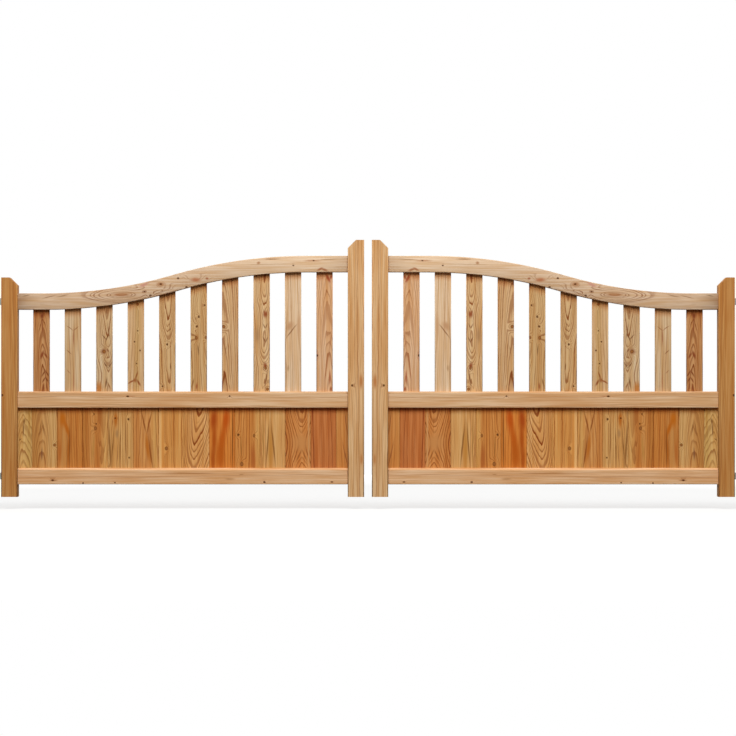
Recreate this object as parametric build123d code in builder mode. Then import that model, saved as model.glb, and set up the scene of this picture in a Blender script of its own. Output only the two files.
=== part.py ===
from build123d import *
import math
import os

# A pair of swan-neck driveway gate leaves on two square posts. Millimetres, +Z up, the front towards -Y.
# The origin is the middle of the left post's foot, at ground level. Every piece of the left-hand half is
# modelled where it stands, and the right-hand half is its mirror image across the middle of the gateway.

# Leaf
leaf_width = 1508.0
meeting_gap = 32.0
ground_clearance = 50.0
board_opening = 250.0
pale_opening = 340.0
stile_width = 68.0
stile_depth = 70.0
stile_horn_below = 52.0
stile_horn_above = 66.0
stile_top_bevel = 34.0
stile_arris = 5.0

# Rails
rail_height = 68.0
rail_depth = 52.0
rail_arris = 4.0
middle_weathering = 5.0
bottom_weathering = 8.0
ridge_land = 1.5

# Swan neck of the top rail: level at both ends, two equal arcs between
swan_rise = 156.0
swan_outer_level = 108.0
swan_inner_level = 171.0

# Tenons of the rails, in blind mortises of the stiles
tenon_length = 45.0
tenon_depth = 18.0
tenon_shoulder = 14.0

# Pales
pale_count = 10
pale_width = 68.0
pale_depth = 18.0
pale_arris = 3.0
pale_housing = 12.0

# Tongued and grooved boards
board_cover = 105.5
board_depth = 20.0
board_groove = 10.0
edge_board_least = 35.0
outer_edge_board_share = 0.54
board_gap = 0.6
board_vee = 2.0
tongue_depth = 6.0
tongue_length = 6.0

# Posts
post_width = 125.0
post_above_stile = 40.0
post_top_rise = 14.0
post_top_run = 45.0
post_arris = 3.0

# Hook and eye hinges
pin_to_post = 42.0
pin_to_stile = 30.0
pin_diameter = 16.0
pin_lead = 8.0
pin_point = 2.0
eye_diameter = 32.0
eye_height = 36.0
neck_width = 16.0
neck_height = 28.0
plate_thickness = 6.0
plate_width = 40.0
plate_height = 120.0
plate_corner = 6.0
arm_width = 18.0
arm_height = 14.0
arm_end_diameter = 28.0
gusset_thickness = 8.0
gusset_drop = 34.0

# Clearances
joint_clearance = 0.2
seat_clearance = 0.3
pin_clearance = 0.3
cut_overrun = 5.0

# Places across the gateway
post_face = post_width / 2
pin_x = post_face + pin_to_post
leaf_start = pin_x + pin_to_stile
frame_start = leaf_start + stile_width
leaf_end = leaf_start + leaf_width
frame_end = leaf_end - stile_width
frame_span = frame_end - frame_start
gate_middle = Plane.YZ.offset(leaf_end + meeting_gap / 2)

# Heights
foot_z = ground_clearance
bottom_rail_low = foot_z + stile_horn_below
bottom_rail_top = bottom_rail_low + rail_height
middle_rail_low = bottom_rail_top + board_opening
middle_rail_top = middle_rail_low + rail_height
top_rail_low = middle_rail_top + pale_opening
top_rail_middle = top_rail_low + rail_height / 2
hanging_stile_top = top_rail_low + rail_height + stile_horn_above
meeting_stile_top = hanging_stile_top + swan_rise
post_top = hanging_stile_top + post_above_stile

# Swan neck geometry, along the middle of the rail
swan_start = frame_start + swan_outer_level
swan_run = frame_span - swan_outer_level - swan_inner_level
swan_radius = (swan_run**2 + swan_rise**2) / (4 * swan_rise)
swan_turn = math.degrees(2 * math.atan2(swan_rise, swan_run))

# Half widths of the level ridges that the pales and the boards stand on
middle_ridge = pale_depth / 2 + ridge_land
bottom_ridge = board_depth / 2 + ridge_land

# Pale and board spacing
pale_gap = (frame_span - pale_count * pale_width) / (pale_count + 1)
first_pale = frame_start + pale_gap + pale_width / 2
pale_places = [first_pale + i * (pale_width + pale_gap) for i in range(pale_count)]
whole_boards = int((frame_span - 2 * edge_board_least) // board_cover)
edge_board_rest = frame_span - whole_boards * board_cover
first_joint = frame_start + edge_board_rest * outer_edge_board_share
board_joints = [first_joint + i * board_cover for i in range(whole_boards + 1)]
board_low = bottom_rail_top - board_groove + seat_clearance
board_high = middle_rail_low + board_groove - seat_clearance

os.makedirs("parts", exist_ok=True)


def write_pair(piece, name):
    """Write a left-hand piece and its mirror image."""
    piece.part.label = f"left_{name}"
    export_step(piece.part, f"parts/left_{name}.step")
    twin = mirror(piece.part, about=gate_middle)
    twin.label = f"right_{name}"
    export_step(twin, f"parts/right_{name}.step")


def swan_line(lift, left, right):
    """Draw a swan-neck line at a height above the middle of the top rail, and return its two ends."""
    level = Line((left, top_rail_middle + lift), (swan_start, top_rail_middle + lift))
    sweep = JernArc(level @ 1, level % 1, swan_radius - lift, swan_turn)
    ease = JernArc(sweep @ 1, sweep % 1, swan_radius + lift, -swan_turn)
    landing = Line(ease @ 1, (right, top_rail_middle + swan_rise + lift))
    return level @ 0, landing @ 1


def above_swan_line(lift):
    """Return the region above a swan-neck line, up to the top of the meeting stile."""
    with BuildSketch() as region:
        with BuildLine():
            left, right = swan_line(lift, frame_start, frame_end)
            Polyline(left, (frame_start, meeting_stile_top), (frame_end, meeting_stile_top), right)
        make_face()
    return region.sketch


def mortise(height_low, wall_x, into):
    """Cut a blind mortise for the tenon of a rail whose lower edge is at height_low."""
    length = tenon_length + seat_clearance
    place = (wall_x + into * length / 2, 0, height_low + rail_height / 2)
    with Locations(place):
        Box(
            length,
            tenon_depth + 2 * joint_clearance,
            rail_height - 2 * tenon_shoulder + 2 * joint_clearance,
            mode=Mode.SUBTRACT,
        )


def plate_outline(wall_x, height, margin=0):
    """Return the outline of a hinge plate against a wall, or of the recess that it lies in."""
    with BuildSketch(Plane.YZ.offset(wall_x)) as outline:
        with Locations((0, height)):
            RectangleRounded(plate_width + 2 * margin, plate_height + 2 * margin, plate_corner + margin)
    return outline.sketch


def make_stile(name, start_x, top_z, rail_side, top_rail_edge, hinge_heights):
    """A stile: bevelled top towards the rails, mortises, a stopped groove for the boards, and plate recesses."""
    wall_x = start_x + stile_width if rail_side > 0 else start_x
    into = -rail_side
    with BuildPart() as stile:
        with BuildSketch(Plane.XY.offset(foot_z)):
            with Locations((start_x + stile_width / 2, 0)):
                Rectangle(stile_width, stile_depth)
        extrude(amount=top_z - foot_z)
        top_edges = stile.edges().filter_by(Axis.Y).group_by(Axis.Z)[-1].sort_by(Axis.X)
        chamfer(top_edges[-1] if rail_side > 0 else top_edges[0], length=stile_top_bevel)
        fillet(stile.edges().filter_by(Axis.Z), radius=stile_arris)
        mortise(bottom_rail_low, wall_x, into)
        mortise(middle_rail_low, wall_x, into)
        mortise(top_rail_edge, wall_x, into)
        groove_low = bottom_rail_top - board_groove
        groove_high = middle_rail_low + board_groove
        with Locations((wall_x + into * board_groove / 2, 0, (groove_low + groove_high) / 2)):
            Box(
                board_groove,
                board_depth + 2 * joint_clearance,
                groove_high - groove_low,
                mode=Mode.SUBTRACT,
            )
        for height in hinge_heights:
            recess = plate_outline(start_x, height, joint_clearance)
            extrude(recess, amount=plate_thickness, mode=Mode.SUBTRACT)
    write_pair(stile, name)


def tenons(outer_low, inner_low):
    """Add the tenons at both ends of a rail, given the height of its lower edge at each end."""
    outer = (frame_start - tenon_length / 2, 0, outer_low + rail_height / 2)
    inner = (frame_end + tenon_length / 2, 0, inner_low + rail_height / 2)
    with Locations(outer, inner):
        Box(tenon_length, tenon_depth, rail_height - 2 * tenon_shoulder)


def weathered_section(low, weathering, ridge):
    """Return the section of a straight rail whose upper edges slope away from a level ridge."""
    face = rail_depth / 2
    top = low + rail_height
    with BuildSketch(Plane.YZ.offset(frame_start)) as section:
        with BuildLine():
            Polyline(
                (-face, low),
                (face, low),
                (face, top - weathering),
                (ridge, top),
                (-ridge, top),
                (-face, top - weathering),
                close=True,
            )
        make_face()
        corners = section.vertices().group_by(Axis.X)
        fillet(corners[0] + corners[-1], radius=rail_arris)
    return section.sketch


def board_slot(edge_z, into):
    """Cut the groove that holds the ends of the boards along a rail."""
    with Locations(((frame_start + frame_end) / 2, 0, edge_z + into * board_groove / 2)):
        Box(frame_span, board_depth + 2 * joint_clearance, board_groove, mode=Mode.SUBTRACT)


def make_top_rail():
    """The swan-neck top rail, with a housing for the head of each pale."""
    housing_top = -rail_height / 2 + pale_housing
    ceiling = above_swan_line(housing_top)
    with BuildPart() as rail:
        with BuildSketch(Plane.XZ):
            with BuildLine():
                low_left, low_right = swan_line(-rail_height / 2, frame_start, frame_end)
                top_left, top_right = swan_line(rail_height / 2, frame_start, frame_end)
                Line(low_left, top_left)
                Line(low_right, top_right)
            make_face()
        extrude(amount=rail_depth / 2, both=True)
        faces_y = rail.edges().group_by(Axis.Y)
        chamfer((faces_y[0] + faces_y[-1]).filter_by(Axis.Z, reverse=True), length=rail_arris)
        with BuildSketch(Plane.XZ):
            for place in pale_places:
                with Locations((place, (middle_rail_top + meeting_stile_top) / 2)):
                    Rectangle(pale_width + 2 * joint_clearance, meeting_stile_top - middle_rail_top)
            add(ceiling, mode=Mode.SUBTRACT)
        extrude(amount=pale_depth / 2 + joint_clearance, both=True, mode=Mode.SUBTRACT)
        tenons(top_rail_low, top_rail_low + swan_rise)
    write_pair(rail, "top_rail")


def make_middle_rail():
    """The middle rail: weathered top with housings for the pales, boards in a groove below."""
    with BuildPart() as rail:
        extrude(weathered_section(middle_rail_low, middle_weathering, middle_ridge), amount=frame_span)
        board_slot(middle_rail_low, 1)
        with Locations([(place, 0, middle_rail_top - pale_housing / 2) for place in pale_places]):
            Box(
                pale_width + 2 * joint_clearance,
                pale_depth + 2 * joint_clearance,
                pale_housing,
                mode=Mode.SUBTRACT,
            )
        tenons(middle_rail_low, middle_rail_low)
    write_pair(rail, "middle_rail")


def make_bottom_rail():
    """The bottom rail: weathered top with a groove for the boards."""
    with BuildPart() as rail:
        extrude(weathered_section(bottom_rail_low, bottom_weathering, bottom_ridge), amount=frame_span)
        board_slot(bottom_rail_top, -1)
        tenons(bottom_rail_low, bottom_rail_low)
    write_pair(rail, "bottom_rail")


def make_pales():
    """The pales: each head is cut to the sweep of the top rail and sits in its housing there."""
    head_line = above_swan_line(-rail_height / 2 + pale_housing - seat_clearance)
    pale_foot = middle_rail_top - pale_housing + seat_clearance
    for number, place in enumerate(pale_places, start=1):
        with BuildPart() as pale:
            with BuildSketch(Plane.XZ):
                with Locations((place, (pale_foot + meeting_stile_top) / 2)):
                    Rectangle(pale_width, meeting_stile_top - pale_foot)
                add(head_line, mode=Mode.SUBTRACT)
            extrude(amount=pale_depth / 2, both=True)
            chamfer(pale.edges().filter_by(Axis.Z), length=pale_arris)
        write_pair(pale, f"pale_{number}")


def board_section(left, right, grooved, tongued):
    """Return the section of one board, with a vee and a tongue or a groove along its jointed edges."""
    with BuildSketch(Plane.XY.offset(board_low)) as section:
        with Locations(((left + right) / 2, 0)):
            Rectangle(right - left, board_depth)
        edges_x = section.vertices().group_by(Axis.X)
        if grooved:
            chamfer(edges_x[0], length=board_vee)
        if tongued:
            chamfer(edges_x[-1], length=board_vee)
        if tongued:
            with Locations((right + tongue_length / 2, 0)):
                Rectangle(tongue_length, tongue_depth)
        if grooved:
            with Locations((left + tongue_length / 2, 0)):
                Rectangle(tongue_length, tongue_depth + 2 * joint_clearance, mode=Mode.SUBTRACT)
    return section.sketch


def make_boarding():
    """The boards, side by side in the grooves of the rails and stiles."""
    outer_edge = frame_start - board_groove + seat_clearance
    inner_edge = frame_end + board_groove - seat_clearance
    lefts = [outer_edge] + [joint + board_gap / 2 for joint in board_joints]
    rights = [joint - board_gap / 2 for joint in board_joints] + [inner_edge]
    with BuildPart() as boarding:
        for left, right in zip(lefts, rights):
            section = board_section(left, right, left != outer_edge, right != inner_edge)
            extrude(section, amount=board_high - board_low)
    write_pair(boarding, "boarding")


def make_post():
    """A square post with arrises taken off and a top weathered to all four sides."""
    with BuildPart() as post:
        with BuildSketch():
            Rectangle(post_width, post_width)
        extrude(amount=post_top)
        fillet(post.edges().filter_by(Axis.Z), radius=post_arris)
        with BuildSketch(Plane.XY.offset(post_top)):
            Rectangle(post_width - 2 * post_arris, post_width - 2 * post_arris)
        extrude(amount=post_top_rise, taper=math.degrees(math.atan2(post_top_run, post_top_rise)))
    write_pair(post, "post")


def make_hook(name, eye_z):
    """A hinge hook: a plate on the post, a gusseted arm and an upright pin."""
    arm_top = eye_z - eye_height / 2 - seat_clearance
    arm_z = arm_top - arm_height / 2
    arm_start = post_face + plate_thickness
    with BuildPart() as hook:
        extrude(plate_outline(post_face, arm_z), amount=plate_thickness)
        with BuildSketch(Plane.XY.offset(arm_top - arm_height)):
            with Locations(((arm_start + pin_x) / 2, 0)):
                Rectangle(pin_x - arm_start, arm_width)
            with Locations((pin_x, 0)):
                Circle(arm_end_diameter / 2)
        extrude(amount=arm_height)
        with BuildSketch(Plane.XZ):
            with BuildLine():
                Polyline(
                    (arm_start, arm_top - arm_height),
                    (pin_x, arm_top - arm_height),
                    (arm_start, arm_top - arm_height - gusset_drop),
                    close=True,
                )
            make_face()
        extrude(amount=gusset_thickness / 2, both=True)
        with BuildSketch(Plane.XY.offset(arm_top)):
            with Locations((pin_x, 0)):
                Circle(pin_diameter / 2)
        extrude(amount=seat_clearance + eye_height + pin_lead)
        chamfer(hook.edges().filter_by(GeomType.CIRCLE).sort_by(Axis.Z)[-1], length=pin_point)
    write_pair(hook, name)


def make_eye(name, eye_z):
    """A hinge eye: a plate let in flush with the stile, a neck and a barrel bored for the pin."""
    with BuildPart() as eye:
        with Locations((pin_x, 0, eye_z)):
            Cylinder(eye_diameter / 2, eye_height)
        with Locations(((pin_x + leaf_start) / 2, 0, eye_z)):
            Box(leaf_start - pin_x, neck_width, neck_height)
        extrude(plate_outline(leaf_start, eye_z), amount=plate_thickness)
        with Locations((pin_x, 0, eye_z)):
            Cylinder(pin_diameter / 2 + pin_clearance, eye_height + 2 * cut_overrun, mode=Mode.SUBTRACT)
    write_pair(eye, name)


upper_hinge = top_rail_low + rail_height / 2
lower_hinge = bottom_rail_low + rail_height / 2
make_post()
make_stile("hanging_stile", leaf_start, hanging_stile_top, 1, top_rail_low, (upper_hinge, lower_hinge))
make_stile("meeting_stile", frame_end, meeting_stile_top, -1, top_rail_low + swan_rise, ())
make_top_rail()
make_middle_rail()
make_bottom_rail()
make_pales()
make_boarding()
for hinge_name, hinge_z in (("upper", upper_hinge), ("lower", lower_hinge)):
    make_hook(f"{hinge_name}_hook", hinge_z)
    make_eye(f"{hinge_name}_eye", hinge_z)
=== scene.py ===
import math
from collections import namedtuple
from functools import partial

import bmesh
import bpy
from mathutils import Euler, Matrix, Vector


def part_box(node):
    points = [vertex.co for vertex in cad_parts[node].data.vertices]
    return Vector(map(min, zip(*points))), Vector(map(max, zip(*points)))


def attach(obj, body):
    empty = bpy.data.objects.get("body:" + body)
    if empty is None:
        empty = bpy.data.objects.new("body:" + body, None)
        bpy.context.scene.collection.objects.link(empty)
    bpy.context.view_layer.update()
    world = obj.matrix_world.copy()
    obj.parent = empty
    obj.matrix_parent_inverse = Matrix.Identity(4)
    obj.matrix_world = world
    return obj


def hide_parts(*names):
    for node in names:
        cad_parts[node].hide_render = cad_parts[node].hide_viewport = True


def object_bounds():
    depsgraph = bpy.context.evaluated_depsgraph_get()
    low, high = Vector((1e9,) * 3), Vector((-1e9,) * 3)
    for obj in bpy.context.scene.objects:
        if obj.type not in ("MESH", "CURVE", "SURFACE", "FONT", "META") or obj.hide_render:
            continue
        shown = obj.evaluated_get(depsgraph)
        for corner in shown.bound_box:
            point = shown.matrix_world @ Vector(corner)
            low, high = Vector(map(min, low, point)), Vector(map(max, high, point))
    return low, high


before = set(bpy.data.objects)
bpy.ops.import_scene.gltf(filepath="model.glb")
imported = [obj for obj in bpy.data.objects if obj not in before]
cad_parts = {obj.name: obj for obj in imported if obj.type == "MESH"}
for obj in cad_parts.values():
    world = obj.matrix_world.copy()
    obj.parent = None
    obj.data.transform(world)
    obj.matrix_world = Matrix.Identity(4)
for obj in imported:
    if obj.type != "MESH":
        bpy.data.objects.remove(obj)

bl_info = {
    "name": "Swan-neck driveway gates",
    "version": (1, 0, 0),
    "blender": (4, 5, 0),
    "location": "View3D > Sidebar > Gates",
    "description": "Dresses a pair of swan-neck larch gates, hung on posts, around their frame",
    "category": "Object",
}

MM = 0.001
UP = Vector((0, 0, 1))
ALONG = Vector((1, 0, 0))
BACK = Vector((0, 1, 0))
SIDES = ("left", "right")
LEVELS = ("upper", "lower")
CAD_LOW, CAD_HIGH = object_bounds()
GATE_MIDDLE = (CAD_LOW.x + CAD_HIGH.x) / 2

# Points within SNAP of a cut lie on it, and what is NEAR a place is at it. HAIR is the thin strip that keeps
# a sunk face apart from its rim. FAR, in metres, is longer than any piece. ALIGNED is the least cosine of an
# edge with the axis that it runs along. ORDER weighs a place, to number points by
SNAP = MM / 1000
NEAR = MM / 10
HAIR = MM / 100
FAR = 1000.0
ALIGNED = 0.999
ORDER = Vector((1.0, 3.7, 11.3))
ARC_STEPS = 48
HEX_SIDES = 6
ROUND_SIDES = 24

# The figure of one piece of timber. Tone is its sRGB colour. Pith is where the middle of the log lies from
# the middle of the piece, across it (towards the meeting stile, or up) and behind it. Lean is how far the log
# tips from the length of the piece, across and backwards: it draws the arches. Ring is the width of a year's
# growth, line the strength of its dark edge, and drift how far the colour wanders to that of heartwood.
# Knots, swells of the rings, streaks and bands of colour lie on the face, across and along: from the middle
# line and the foot of an upright piece, from the hanging stile and the lower edge of a rail. A swell has
# lines of its own strength. A painted shade is a warm, darker band of painted shadow on the head of a pale or
# board, where the rail above it casts its shade. Lengths are millimetres, angles degrees
Stick = namedtuple("Stick", "tone pith lean ring line knots swells streaks bands drift")
Knot = namedtuple("Knot", "across along radius")
Swell = namedtuple("Swell", "across along half_length half_width rings line", defaults=(0,))
Streak = namedtuple("Streak", "across along half_length half_width colour slant", defaults=(0,))
Band = namedtuple("Band", "across half_width colour")
# The band of painted shade below a rail, on the head of a pale or board: where it lies, how long it is, and
# its slant
PaintedShade = namedtuple("PaintedShade", "along half_length slant", defaults=(0,))


def figure(*wood, knots=(), swells=(), streaks=(), bands=(), drift=1.0):
    """The figure of one piece, from the numbers of its wood and plain rows of its marks."""
    kinds = ((Knot, knots), (Swell, swells), (Streak, streaks), (Band, bands))
    return Stick(*wood, *([kind(*row) for row in rows] for kind, rows in kinds), drift)


HANGING_STILE = figure("B47D42", (150, 90), (0.3, 0.5), 6.0, 0.4, knots=((-30, 424, 4),))
MEETING_STILE = figure(
    "CC9F6C", (-160, 110), (0.4, 0.3), 4.5, 0.7, knots=((-16, 461, 4),),
    streaks=((20, 480, 40, 8, "B4713C"), (-24, 560, 60, 4, "B98652"), (22, 160, 30, 6, "B87A46")),
)
TOP_RAIL = figure(
    "C5A37F", (-50, 100), (3.0, 0.5), 4.5, 0.22,
    swells=((434, 60, 130, 26, 7.0, 0.6), (570, 88, 70, 26, 4.0, 0.4), (739, 129, 60, 22, 3.0, 0.2)),
    bands=((1300, 420, "DBB992"),), drift=0.35, knots=(
        (526, 74, 3), (552, 58, 4), (594, 106, 4), (667, 135, 4), (700, 95, 4), (1148, 181, 3),
        (1230, 202, 3),
    ), streaks=(
        (35, 58, 20, 2.5, "86603E", -12), (131, 54, 36, 2.5, "8E6644", -14),
        (187, 58, 34, 2.5, "94704C", -11), (434, 62, 40, 9, "A8744C"), (524, 104, 26, 8, "C08A76", -20),
        (594, 106, 22, 12, "A8744A"), (600, 76, 5, 4, "7A4A2C"), (739, 128, 26, 13, "B06A42"),
        (787, 134, 8, 7, "9E5A38"), (1003, 193, 9, 7, "A87650"), (1040, 188, 115, 1.5, "AE8660"),
        (1060, 208, 40, 3, "9A6C46"), (1225, 202, 40, 6, "B98660"), (1290, 208, 50, 3, "A8805C", -4),
        (1258, 165, 16, 5, "A46038", -25), (1276, 163, 18, 6, "A46038", 20),
    ),
)
MIDDLE_RAIL = figure(
    "CDA275", (120, 70), (0.2, 0.4), 6.0, 0.4, knots=((461, 47, 4), (882, 48, 3)), streaks=(
        (461, 47, 9, 5, "6A3812"), (474, 48, 24, 3, "B0764A"), (420, 11, 150, 2.2, "B58454", 1),
        (690, 6, 75, 4, "B58250"), (1046, 13, 120, 2.5, "D8B284", 3), (1046, 7, 110, 2.5, "B58250", 3),
    ),
)
BOTTOM_RAIL = figure(
    "D3A577", (-140, 80), (0.2, 0.3), 6.0, 0.4,
    knots=((146, 17, 4), (270, 5, 3), (404, 8, 3), (1024, 11, 4), (1304, 9, 3)), streaks=(
        (148, 17, 20, 4, "9A6234"), (715, 46, 130, 3, "AE7644"), (880, 22, 26, 5, "B88658"),
        (930, 42, 12, 3, "B07C4C"), (1304, 9, 9, 4, "8A5424"),
    ),
)
PALES = (
    figure(
        "B7824F", (8, 20), (0.5, -4.0), 4.0, 0.9, streaks=(
            (5, 312, 18, 9, "7A3A1C"), (6, 268, 34, 4, "823E1E"), (4, 152, 24, 8, "803A1A", 24),
            (20, 148, 18, 5, "803A1A", -28), (10, 74, 18, 4, "763616", 32), (25, 74, 18, 4, "763616", -32),
            (11, 48, 15, 4, "763616", 32), (24, 48, 15, 4, "763616", -32), (8, 14, 18, 4, "7E3E1C", 10),
            (24, 16, 20, 4, "7E3E1C", -10),
        ),
    ),
    figure(
        "C7A57A", (60, 50), (0.6, 1.0), 5.0, 0.45, bands=((-26, 10, "BD986A"),), streaks=(
            (8, 225, 44, 3, "94583A"), (-8, 262, 20, 2.5, "94603A", -55), (18, 262, 16, 2.5, "94603A", 50),
            (-12, 162, 15, 3, "8E5C38", -50), (6, 40, 52, 3, "A2643E"), (-16, 82, 12, 3, "A2704A", -45),
        ),
    ),
    figure(
        "C7A77C", (10, 18), (0.4, 4.0), 4.0, 0.9, knots=((-4, 166, 6),), swells=((4, 80, 60, 40, 2.0),),
        streaks=(
            (10, 330, 16, 5, "80502A"), (-6, 166, 17, 14, "9A6440", 20), (16, 250, 44, 2.5, "7A4A28", -6),
            (-4, 226, 15, 3, "6A3E20", -40), (8, 220, 20, 3, "6A3E20", 25), (12, 172, 10, 3, "7A4228", -20),
            (4, 110, 20, 3, "6A3E20", -35), (20, 108, 16, 3, "6A3E20", 28), (6, 36, 26, 4, "6A3E20", 8),
            (-22, 15, 34, 16, "B4702E"),
        ),
    ),
    figure(
        "C9A273", (-60, 50), (0.4, 1.0), 5.0, 0.5,
        knots=((9, 361, 5), (9, 253, 3), (-4, 207, 3), (21, 174, 3), (6, 116, 3)),
        bands=((8, 14, "BA9157"),), streaks=(
            (-16, 40, 22, 5, "8E481E", 62), (6, 66, 22, 4, "8A481E", 18), (16, 38, 18, 6, "86401A", -32),
            (0, 46, 12, 8, "96562A"),
        ),
    ),
    figure(
        "C59D6A", (4, 18), (0.3, 3.5), 3.7, 0.95, knots=((-2, 195, 4), (-20, 24, 3)),
        swells=((6, 195, 70, 60, 2.0),), streaks=((12, 104, 18, 3, "6E4420"), (10, 262, 40, 2.5, "8A5C34")),
    ),
    figure(
        "C29964", (40, 26), (0.5, 2.5), 4.5, 0.7,
        knots=((24, 357, 3), (-2, 313, 4), (-10, 274, 4), (-14, 225, 6), (30, 225, 5)),
        swells=((-8, 420, 40, 18, 2.0), (-8, 270, 40, 20, 2.5)), streaks=(
            (-7, 174, 28, 3, "5E3A1C"), (-12, 225, 20, 10, "AC7440"), (-10, 20, 18, 5, "96502A"),
            (-26, 30, 26, 4, "8A5C2C", 10),
        ),
    ),
    figure(
        "C69C6B", (-26, 24), (0.4, -3.0), 4.5, 0.95, knots=((-26, 268, 6),),
        streaks=((-18, 170, 26, 3, "9C6C42", 12), (-24, 340, 50, 3, "A87A50")),
    ),
    figure(
        "CFA876", (14, 16), (0.8, 4.0), 4.0, 0.95, knots=((15, 95, 5), (24, 8, 5)),
        swells=((14, 318, 70, 40, 2.0), (14, 100, 60, 40, 2.0)), streaks=(
            (15, 321, 19, 15, "8A3E1A"), (10, 272, 14, 3, "7A4622", -25), (20, 272, 14, 3, "7A4622", 25),
            (10, 215, 16, 3, "7A4622", -25), (21, 215, 16, 3, "7A4622", 25),
            (14, 105, 19, 10, "8A3E18", -12), (19, 50, 46, 4, "7A4622", 8), (-20, 235, 40, 10, "A97E54"),
        ),
    ),
    figure(
        "D4B38C", (120, 70), (1.2, 0.6), 5.0, 0.55, streaks=(
            (-7, 250, 40, 3.5, "8A5A34", 38), (-14, 270, 24, 16, "BC8E66", 30),
            (-28, 250, 110, 2.5, "A87C54", 3), (-28, 90, 80, 2.5, "A87C54", -3), (22, 270, 70, 9, "C49870"),
            (-20, 100, 16, 5, "B08860"),
        ),
    ),
    figure(
        "CEA175", (18, 20), (0.5, -4.0), 4.0, 0.65, knots=((-28, 149, 4),), streaks=(
            (16, 468, 26, 6, "A04A28", -25), (26, 474, 14, 6, "A04A28", 20), (20, 60, 34, 4, "A45636"),
            (10, 110, 80, 3, "A8683E", 6), (24, 215, 60, 2.5, "A8683E", 5), (24, 10, 14, 6, "964826"),
            (-28, 149, 30, 6, "B48062"),
        ),
    ),
)
BOARDS = (
    figure(
        "C99E5D", (3, 24), (0.3, -8.0), 5.0, 0.65,
        streaks=((4, 194, 14, 6, "7A481E"), (2, 158, 28, 4, "74461E"), (-12, 118, 9, 3, "74461E", 50)),
        bands=((22, 8, "B98C48"),),
    ),
    figure(
        "BF894C", (-12, 24), (0.3, -5.0), 5.0, 0.6, knots=((44, 93, 5),),
        streaks=((-12, 60, 34, 4, "7A4A30"), (-16, 170, 40, 3, "8C5A2C", 8), (-4, 170, 40, 3, "8C5A2C", -8)),
        bands=((-40, 22, "AF7434"), (34, 26, "C79759")),
    ),
    figure(
        "B97331", (60, 40), (0.5, 1.0), 5.0, 0.5, bands=((-28, 20, "C28847"),), streaks=(
            (-32, 205, 48, 18, "B86208"), (-15, 165, 44, 10, "B45E0A", -18), (-42, 60, 70, 8, "B06428"),
            (-7, 75, 100, 5, "A4560E"), (-2, 90, 110, 3, "7C4212"),
        ),
    ),
    figure(
        "BE7E3E", (30, 36), (0.4, 1.5), 5.0, 0.5, knots=((0, 166, 6), (-6, 225, 3), (4, 185, 3)),
        streaks=((-10, 80, 70, 6, "B98240", 5),),
        bands=((-44, 14, "AE6A2A"), (18, 12, "B16B2E"), (44, 18, "CB9754")),
    ),
    figure(
        "C89556", (-50, 34), (0.6, 1.5), 5.0, 0.62, knots=((-22, 205, 3), (36, 205, 4), (36, 45, 3)),
        streaks=(
            (-20, 200, 42, 10, "AE5E14"), (-14, 140, 22, 10, "A87C4C"), (-42, 90, 110, 4, "7E4E1E", -2),
            (-32, 85, 100, 3, "7E4E1E", 3), (0, 85, 90, 3, "825222", 2), (24, 120, 120, 3, "8C5A2A"),
        ),
    ),
    figure(
        "C58748", (20, 60), (0.4, -1.0), 5.0, 0.5, bands=((-40, 20, "BB7738"), (40, 16, "CA9652")), streaks=(
            (-10, 190, 58, 4, "844416", -12), (14, 185, 58, 4, "844416", 12), (8, 85, 70, 12, "B4661C", -8),
            (22, 60, 80, 4, "844416", -8),
        ),
    ),
    figure(
        "CE914C", (130, 80), (0.3, 0.5), 5.0, 1.0, knots=((-18, 80, 6),),
        bands=((-14, 14, "C7843E"), (-46, 8, "E0AD6B")),
    ),
    figure("D09859", (0, 20), (-6.0, 9.0), 5.5, 1.0, bands=((-40, 16, "CC8E4A"),)),
    figure(
        "CC7A30", (80, 50), (0.3, 0.6), 5.0, 0.5, bands=((34, 12, "D5873B"),), streaks=(
            (-34, 200, 60, 17, "9E3A00"), (-30, 120, 80, 11, "A64804"), (-34, 34, 70, 13, "A44A0A"),
            (18, 200, 66, 20, "B84A02", 6), (0, 110, 100, 18, "B65206", 8), (-4, 50, 80, 22, "B2560E"),
            (44, 125, 180, 4, "743E12"),
        ),
    ),
    figure(
        "C68340", (-70, 40), (0.4, 1.0), 5.0, 0.6, knots=((-24, 16, 7), (-36, 138, 4), (30, 132, 5)),
        streaks=((22, 40, 70, 12, "AA5E28"), (-24, 90, 70, 3, "94602A")),
        bands=((22, 12, "B97130"), (46, 12, "CE9852")),
    ),
    figure(
        "CD995B", (-90, 60), (0.3, 0.5), 5.0, 0.45, streaks=(
            (-10, 80, 110, 14, "BC8038"), (-22, 100, 115, 4, "845424", 4), (2, 100, 115, 4, "845424", -6),
            (-40, 120, 120, 3, "A07038"),
        ),
    ),
    figure(
        "C68345", (14, 30), (0.5, 0.5), 5.0, 0.9, swells=((14, 105, 95, 200, 4.0),),
        bands=((-42, 16, "BB7334"),), streaks=(
            (44, 120, 200, 3, "C89460"), (12, 106, 50, 44, "C4854A"), (3, 52, 32, 3, "8E5226", 22),
            (27, 52, 32, 3, "8E5226", -22),
        ),
    ),
    figure("B86D37", (140, 90), (0.8, 0.4), 5.0, 0.85),
    figure(
        "C28243", (60, 50), (0.5, 0.6), 5.0, 0.3,
        streaks=((12, 190, 70, 3, "9A5C30", -8), (8, 60, 70, 3, "9A5C30", -12)),
    ),
)
POST = figure("B37C43", (10, 8), (0.3, 0.2), 6.0, 0.6)

# The patches that the grain varies in: width and length in millimetres, place in the noise, and fineness
Grain = namedtuple("Grain", "across along seed detail", defaults=(2.0,))
WANDER = Grain(70, 420, 0.0)
FRAY = Grain(14, 70, 5.1)
DRIFT = Grain(30, 420, 7.3)
FIBRE = Grain(7, 190, 3.9, 3.0)
SEED_SPREAD = (1, 2.7, 4.1)
WANDER_SHIFT = 20 * MM
FRAY_SHIFT = 4 * MM

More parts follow.
